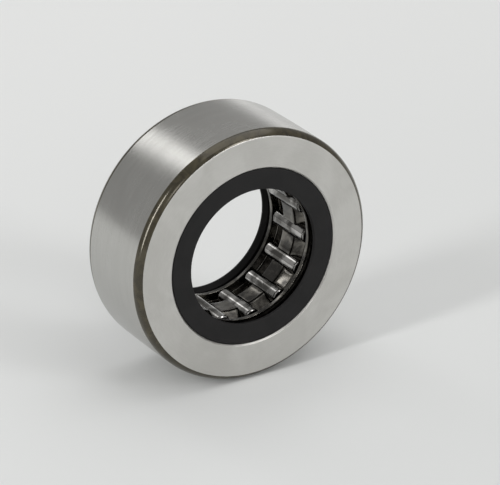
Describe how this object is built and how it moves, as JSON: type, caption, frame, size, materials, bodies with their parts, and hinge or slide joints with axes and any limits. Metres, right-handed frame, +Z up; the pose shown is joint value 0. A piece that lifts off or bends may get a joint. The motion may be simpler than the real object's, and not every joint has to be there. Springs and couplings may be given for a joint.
{
  "type": "yoke type track roller",
  "caption": "Cam follower: a thick crowned steel roller ring with a needle roller and cage set inside and a black lip seal at each end, run on a shaft.",
  "frame": {"origin": "centre of the roller, on its axis, midway between its side faces", "axes": "+Y along the axis of rotation, from the front side face to the rear one; +Z up, with the roller standing on its tread; +X across"},
  "size_m": [0.047, 0.0178, 0.047],
  "materials": {
    "ground_steel": "ground bearing steel, with dark heat-treated rounded corners",
    "needle_steel": "lapped and polished bearing steel",
    "cage_steel": "pressed sheet steel, dark and oily",
    "seal_rubber": "matte black moulded rubber",
    "stiffener_steel": "phosphated sheet steel"
  },
  "bodies": {
    "outer_ring": {"outer_ring": "ground_steel", "front_seal": "seal_rubber", "rear_seal": "seal_rubber", "front_seal_stiffener": "stiffener_steel", "rear_seal_stiffener": "stiffener_steel"},
    "cage": {"needle_cage": "cage_steel"},
    "needle_01": {"needle_01": "needle_steel"},
    "needle_02": {"needle_02": "needle_steel"},
    "needle_03": {"needle_03": "needle_steel"},
    "needle_04": {"needle_04": "needle_steel"},
    "needle_05": {"needle_05": "needle_steel"},
    "needle_06": {"needle_06": "needle_steel"},
    "needle_07": {"needle_07": "needle_steel"},
    "needle_08": {"needle_08": "needle_steel"},
    "needle_09": {"needle_09": "needle_steel"},
    "needle_10": {"needle_10": "needle_steel"},
    "needle_11": {"needle_11": "needle_steel"},
    "needle_12": {"needle_12": "needle_steel"},
    "needle_13": {"needle_13": "needle_steel"},
    "needle_14": {"needle_14": "needle_steel"}
  },
  "joints": [
    {"name": "cage_spin", "type": "hinge", "parent": "outer_ring", "child": "cage", "pos_m": [0, 0, 0], "axis": [0, 1, 0], "continuous": true},
    {"name": "needle_01_spin", "type": "hinge", "parent": "cage", "child": "needle_01", "pos_m": [0.00803, 0, -0.01147], "axis": [0, 1, 0], "continuous": true},
    {"name": "needle_02_spin", "type": "hinge", "parent": "cage", "child": "needle_02", "pos_m": [0.01221, 0, -0.00685], "axis": [0, 1, 0], "continuous": true},
    {"name": "needle_03_spin", "type": "hinge", "parent": "cage", "child": "needle_03", "pos_m": [0.01397, 0, -0.00087], "axis": [0, 1, 0], "continuous": true},
    {"name": "needle_04_spin", "type": "hinge", "parent": "cage", "child": "needle_04", "pos_m": [0.01297, 0, 0.00528], "axis": [0, 1, 0], "continuous": true},
    {"name": "needle_05_spin", "type": "hinge", "parent": "cage", "child": "needle_05", "pos_m": [0.00939, 0, 0.01038], "axis": [0, 1, 0], "continuous": true},
    {"name": "needle_06_spin", "type": "hinge", "parent": "cage", "child": "needle_06", "pos_m": [0.00396, 0, 0.01343], "axis": [0, 1, 0], "continuous": true},
    {"name": "needle_07_spin", "type": "hinge", "parent": "cage", "child": "needle_07", "pos_m": [-0.00226, 0, 0.01382], "axis": [0, 1, 0], "continuous": true},
    {"name": "needle_08_spin", "type": "hinge", "parent": "cage", "child": "needle_08", "pos_m": [-0.00803, 0, 0.01147], "axis": [0, 1, 0], "continuous": true},
    {"name": "needle_09_spin", "type": "hinge", "parent": "cage", "child": "needle_09", "pos_m": [-0.01221, 0, 0.00685], "axis": [0, 1, 0], "continuous": true},
    {"name": "needle_10_spin", "type": "hinge", "parent": "cage", "child": "needle_10", "pos_m": [-0.01397, 0, 0.00087], "axis": [0, 1, 0], "continuous": true},
    {"name": "needle_11_spin", "type": "hinge", "parent": "cage", "child": "needle_11", "pos_m": [-0.01297, 0, -0.00528], "axis": [0, 1, 0], "continuous": true},
    {"name": "needle_12_spin", "type": "hinge", "parent": "cage", "child": "needle_12", "pos_m": [-0.00939, 0, -0.01038], "axis": [0, 1, 0], "continuous": true},
    {"name": "needle_13_spin", "type": "hinge", "parent": "cage", "child": "needle_13", "pos_m": [-0.00396, 0, -0.01343], "axis": [0, 1, 0], "continuous": true},
    {"name": "needle_14_spin", "type": "hinge", "parent": "cage", "child": "needle_14", "pos_m": [0.00226, 0, -0.01382], "axis": [0, 1, 0], "continuous": true}
  ],
  "couplings": [
    {"joint": "needle_01_spin", "follows": "cage_spin", "ratio": -10.333},
    {"joint": "needle_02_spin", "follows": "cage_spin", "ratio": -10.333},
    {"joint": "needle_03_spin", "follows": "cage_spin", "ratio": -10.333},
    {"joint": "needle_04_spin", "follows": "cage_spin", "ratio": -10.333},
    {"joint": "needle_05_spin", "follows": "cage_spin", "ratio": -10.333},
    {"joint": "needle_06_spin", "follows": "cage_spin", "ratio": -10.333},
    {"joint": "needle_07_spin", "follows": "cage_spin", "ratio": -10.333},
    {"joint": "needle_08_spin", "follows": "cage_spin", "ratio": -10.333},
    {"joint": "needle_09_spin", "follows": "cage_spin", "ratio": -10.333},
    {"joint": "needle_10_spin", "follows": "cage_spin", "ratio": -10.333},
    {"joint": "needle_11_spin", "follows": "cage_spin", "ratio": -10.333},
    {"joint": "needle_12_spin", "follows": "cage_spin", "ratio": -10.333},
    {"joint": "needle_13_spin", "follows": "cage_spin", "ratio": -10.333},
    {"joint": "needle_14_spin", "follows": "cage_spin", "ratio": -10.333}
  ]
}
